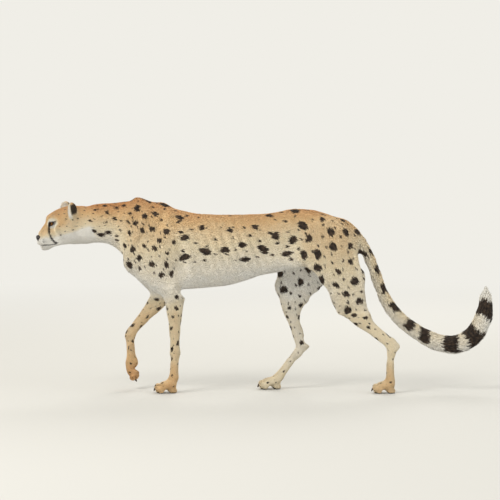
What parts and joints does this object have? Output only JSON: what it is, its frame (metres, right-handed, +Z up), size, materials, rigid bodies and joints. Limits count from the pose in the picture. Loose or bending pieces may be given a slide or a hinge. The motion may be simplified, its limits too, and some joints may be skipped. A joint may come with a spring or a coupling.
{
  "type": "cheetah",
  "caption": "Life-size still cheetah, walking with its head low, its right forefoot lifted and its tail curved up at the end.",
  "frame": {"origin": "on the floor, under the middle of the animal's bounding box", "axes": "+X towards the tail, so the head is at -X; -Y towards the animal's left side; +Z up"},
  "size_m": [1.8302, 0.2392, 0.782],
  "materials": {
    "coat": "short fur, tawny with black spots and a white belly",
    "eye": "wet amber-brown eye",
    "nose": "black, slightly moist",
    "claw": "dark worn horn"
  },
  "bodies": {
    "root": {"trunk": "coat", "neck": "coat", "head": "coat", "left_ear": "coat", "right_ear": "coat", "left_shoulder": "coat", "right_shoulder": "coat", "left_forearm": "coat", "right_forearm": "coat", "left_forepaw": "coat", "right_forepaw": "coat", "left_thigh": "coat", "right_thigh": "coat", "left_shank": "coat", "right_shank": "coat", "left_hind_paw": "coat", "right_hind_paw": "coat", "tail_root": "coat", "tail_upper": "coat", "tail_lower": "coat", "tail_tip": "coat", "left_eye": "eye", "right_eye": "eye", "nose": "nose", "left_foreclaw_1": "claw", "left_foreclaw_2": "claw", "left_foreclaw_3": "claw", "left_foreclaw_4": "claw", "left_hind_claw_1": "claw", "left_hind_claw_2": "claw", "left_hind_claw_3": "claw", "left_hind_claw_4": "claw", "right_foreclaw_1": "claw", "right_foreclaw_2": "claw", "right_foreclaw_3": "claw", "right_foreclaw_4": "claw", "right_hind_claw_1": "claw", "right_hind_claw_2": "claw", "right_hind_claw_3": "claw", "right_hind_claw_4": "claw", "left_dewclaw": "claw", "right_dewclaw": "claw"}
  },
  "joints": []
}
